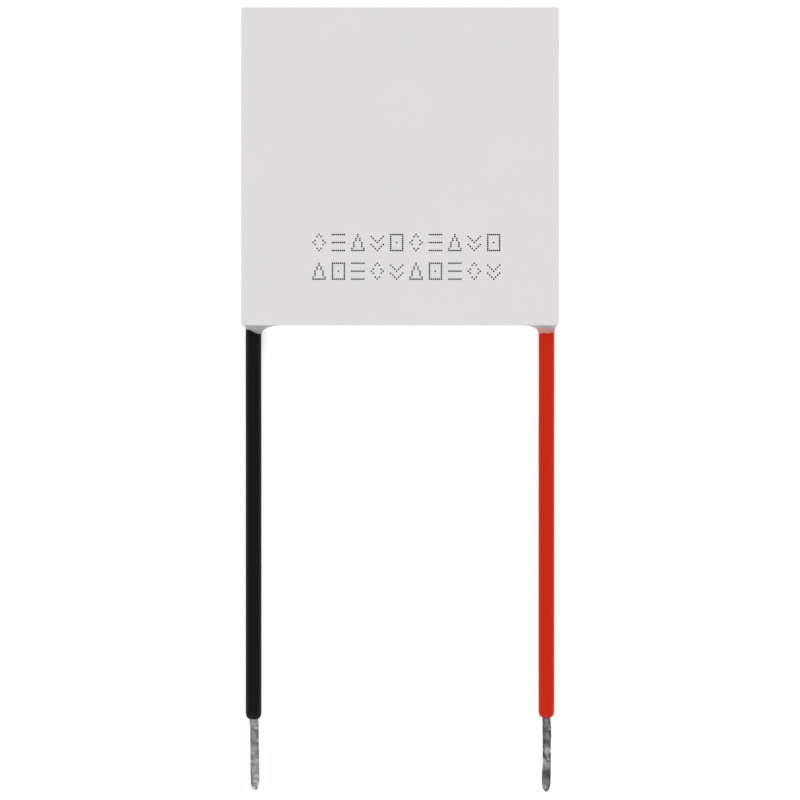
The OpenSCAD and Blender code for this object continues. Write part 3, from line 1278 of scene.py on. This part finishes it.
@dataclass(frozen=True)
class Marking:
    """Two rows of plain figures, printed dot by dot on the cold face.

    Attributes:
        centre_x: Middle of both rows.
        row_heights: Middle of each row on the Y axis.
        figure_pitch: Distance between neighbouring figures.
        dot_pitch: Distance between neighbouring dots.
        dot_radius: Radius of a dot.
        dot_taper: Radius of a dot's top, as a share of its foot's.
        thickness: How far the ink stands above the face.
        dot_sides: Number of points round a dot.
    """

    centre_x: float = 0.8 * MM
    row_heights: tuple[float, float] = (-9.6 * MM, -13.2 * MM)
    figure_pitch: float = 2.44 * MM
    dot_pitch: float = 0.25 * MM
    dot_radius: float = 0.125 * MM
    dot_taper: float = 0.85
    thickness: float = 0.004 * MM
    dot_sides: int = 9

    def dot(self) -> Skin:
        """One drop of ink: two rings that narrow upwards, closed at both ends.

        Returns:
            Its surface, with the face at height zero.
        """
        angles = full_turn(self.dot_sides)
        circle = np.stack([np.cos(angles), np.sin(angles)], 1)
        foot = at_height(circle * self.dot_radius, -0.5 * self.thickness)
        top = at_height(circle * (self.dot_radius * self.dot_taper), self.thickness)
        return Skin.from_rings(np.stack([foot, top]), Closing.POLES)

    def places(self) -> Array:
        """The places of all the dots, figure by figure.

        Returns:
            Their x and y, one dot a row.
        """
        columns, rows = (np.arange(-half, half + 1) for half in FIGURE_HALVES)
        column, row = (part.ravel() for part in np.meshgrid(columns, rows))
        found = []
        for figures, y in zip(MARKING_ROWS, self.row_heights):
            for number, figure in enumerate(figures):
                has = figure.dots(column, row)
                x = self.centre_x + (number - (len(figures) - 1) / 2) * self.figure_pitch
                dots = np.stack([column[has], row[has]], 1) * self.dot_pitch
                found.append(np.array([x, y]) + dots)
        return np.concatenate(found)

    def build(self) -> None:
        """Prints the dots on the cold face."""
        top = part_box("cold_plate")[1].z
        make_piece("marking", self.dot().repeated(at_height(self.places(), top)), MARKING_INK)


# ---------------------------------------------------------------- seal


@dataclass(frozen=True)
class Bead:
    """The silicone bead between the plates, smoothed by hand into a hollow.

    Attributes:
        recess: How far it stands back from the plates' edges where it meets them.
        hollow: Depth of its hollow.
        uneven: How much that depth varies.
        waves: Fewest and most waves of that unevenness in a turn round the module.
        tab_clearance: How far it stays clear of the tabs.
        corner: Radius of its upright corners. It is more than the depth of the hollow.
        seed: Seed of its unevenness.
        levels: Number of rings up its outer face.
        straight: Number of points on a side.
        arc: Number of points on a corner.
    """

    recess: float = 0.05 * MM
    hollow: float = 0.24 * MM
    uneven: float = 0.05 * MM
    waves: tuple[int, int] = (3, 40)
    tab_clearance: float = 0.05 * MM
    corner: float = 0.55 * MM
    seed: int = 11
    levels: int = 15
    straight: int = 90
    arc: int = 6

    def build(self) -> None:
        """Makes the bead along the plates' edge: its outer face a parabola deep, its inner one flat."""
        hot_top, cold_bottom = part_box("hot_plate")[1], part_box("cold_plate")[0]
        low, high = hot_top.z, cold_bottom.z
        outline, outward = rounded_square(hot_top.x, self.corner, self.straight, self.arc)
        turns = np.arange(len(outline)) / len(outline)
        depth = self.hollow + self.uneven * Ripple(self.seed, *self.waves).at(turns)
        shares = np.linspace(0, 1, self.levels)
        rings = []
        for share in shares:
            inset = self.recess + depth * 4 * share * (1 - share)
            rings.append(at_height(outline - outward * inset[:, None], low + share * (high - low)))
        inner_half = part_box("hot_tabs_loop_1")[1].y + self.tab_clearance
        inner = rounded_square(inner_half, self.corner / 2, self.straight, self.arc)[0]
        rings += [at_height(inner, low + share * (high - low)) for share in shares[::-2]]
        skin = Skin.from_rings(np.stack(rings), Closing.LOOP, np.zeros(len(rings)))
        make_piece("seal_bead", skin, BEAD_SILICONE, ["seal"])


@dataclass(frozen=True)
class Collar:
    """The silicone that wets a lead where it leaves the module, hollow like a fillet.

    Attributes:
        lead: Name of the lead's nodes, before what each is.
        finish: Finish of the silicone.
        reach: How far it reaches along the lead, on the side away from the corner and on the corner's side.
        seed: Seed of its unevenness.
        spread: How far from the lead's middle its foot spreads, away from the corner.
        corner_room: How far its foot stays inside the end of the seal, on the corner's side.
        lap: How far it laps down over the hot plate's edge.
        lip: Thickness of its thin end.
        root: How far it goes in between the plates.
        root_share: Size of what is between the plates, as a share of the foot's.
        proud: How far inside the plates' edge that part ends.
        bore_room: How far its bore stands clear of the insulation.
        square: Power of the superellipse of its foot.
        uneven: How much its reach varies.
        waves: Fewest and most waves of that unevenness in a turn.
        flare_rings: Number of rings down the flare.
        sides: Number of points round it.
    """

    lead: str
    finish: Finish
    reach: tuple[float, float]
    seed: int
    spread: float = 2.95 * MM
    corner_room: float = 0.02 * MM
    lap: float = 0.38 * MM
    lip: float = 0.03 * MM
    root: float = 0.35 * MM
    root_share: float = 0.985
    proud: float = 0.01 * MM
    bore_room: float = 0.005 * MM
    square: float = 3.2
    uneven: float = 0.05
    waves: tuple[int, int] = (2, 7)
    flare_rings: int = 12
    sides: int = 72

    def foot(self, angles: Array, half_width: Array, half_height: Array) -> Array:
        """Radius of a superellipse: (|cosine / half-width|^n + |sine / half-height|^n) ^ (-1 / n).

        Args:
            angles: Where to work it out.
            half_width: Its half-width at each angle.
            half_height: Its half-height at each angle.

        Returns:
            The radius at each angle.
        """
        across, rise = np.abs(np.cos(angles)) / half_width, np.abs(np.sin(angles)) / half_height
        return (across**self.square + rise**self.square) ** (-1 / self.square)

    def build(self) -> None:
        """Makes the collar.

        Its foot is a superellipse with its own half-width to each side and half-height up and down. From
        there a quarter of an ellipse runs to the lip: the radius falls by the sine, and the reach grows by
        one less the cosine. Its bore runs back along the insulation.
        """
        low, high = box_of(self.lead + "_sleeve")
        sleeve = (high[0] - low[0]) / 2
        x, z = (low[0] + high[0]) / 2, high[2] - sleeve
        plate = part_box("hot_plate")[1]
        edge, up, down = -plate.x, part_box("cold_plate")[0].z - z, z - plate.z
        angles = full_turn(self.sides)
        away = -np.sign(x) * np.cos(angles)
        half_width = np.where(away > 0, self.spread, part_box("seal")[1].x - abs(x) - self.corner_room)
        above = np.sin(angles) > 0
        root = self.foot(angles, half_width, np.where(above, up, down)) * self.root_share
        lip = sleeve + self.lip
        flared = np.maximum(self.foot(angles, half_width, np.where(above, up, down + self.lap)), lip)
        wave = 1 + self.uneven * Ripple(self.seed, *self.waves).at(angles / (2 * np.pi))
        reach = np.interp(away, [-1.0, 1.0], self.reach[::-1]) * wave
        level, bend = np.ones(self.sides), quarter(self.flare_rings)[:, None]
        bore, inside = level * (sleeve + self.bore_room), level * (edge + self.root)
        flare = lip + (flared - lip) * (1 - np.sin(bend))
        fall = edge - reach * (1 - np.cos(bend))
        radii = np.vstack([root, root, flare, bore, bore])
        y = np.vstack([inside, level * (edge + self.proud), fall, edge - reach, inside])
        shares = np.concatenate([[0.0, 0.0], bend.ravel() / (np.pi / 2), [1.0, 1.0]])
        rings = np.stack([x + radii * np.cos(angles), y, z + radii * np.sin(angles)], 2)
        skin = Skin.from_rings(rings, Closing.LOOP, shares)
        make_piece(self.lead + "_collar", skin, self.finish, ["seal"])


# ---------------------------------------------------------------- inside


@dataclass(frozen=True)
class Interior:
    """What the plates and the seal hide: legs, tabs and solder, which keep their own solids.

    Attributes:
        finishes: How the nodes' names start, and the finish of each kind.
    """

    finishes: tuple[tuple[str, Finish], ...] = (
        ("p_legs", P_TELLURIDE),
        ("n_legs", N_TELLURIDE),
        ("hot_tabs", COPPER),
        ("cold_tabs", COPPER),
        ("hot_solder", SOLDER),
        ("cold_solder", SOLDER),
        ("black_lead_solder", SOLDER),
        ("red_lead_solder", SOLDER),
    )

    def dress(self) -> None:
        """Gives each node that starts with a listed name its finish."""
        for start, finish in self.finishes:
            nodes = [node for name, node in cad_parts.items() if name.startswith(start)]
            for node in nodes:
                for slot in node.material_slots:
                    slot.material = finish.material()
            log.info("%s: %d nodes, %s", start, len(nodes), finish.name)


def main() -> None:
    """Sets up the studio, and builds and dresses the module."""
    logging.basicConfig(level=logging.INFO, format="%(message)s")
    Studio().build()
    Lead(
        "black_lead", BLACK_PVC, PINKISH_STRANDS, drift=(0.14 * MM, 0.15 * MM),
        creep=0.5 * MM, swelling=0.01 * MM, drop=0.25 * MM, coat=0.05 * MM, seed=3,
    ).build()
    Lead(
        "red_lead", RED_PVC, GREY_STRANDS, drift=(0.09 * MM, -0.03 * MM),
        creep=0.3 * MM, swelling=0.01 * MM, drop=0.0, coat=0.03 * MM, seed=8,
    ).build()
    Plate("hot_plate", seed=1).build()
    Plate("cold_plate", seed=2).build()
    Marking().build()
    Bead().build()
    Collar("black_lead", BLACK_COLLAR_SILICONE, (1.15 * MM, 0.42 * MM), seed=5, spread=3.3 * MM).build()
    Collar("red_lead", RED_COLLAR_SILICONE, (0.95 * MM, 0.95 * MM), seed=6).build()
    Interior().dress()


if __name__ == "__main__":
    main()
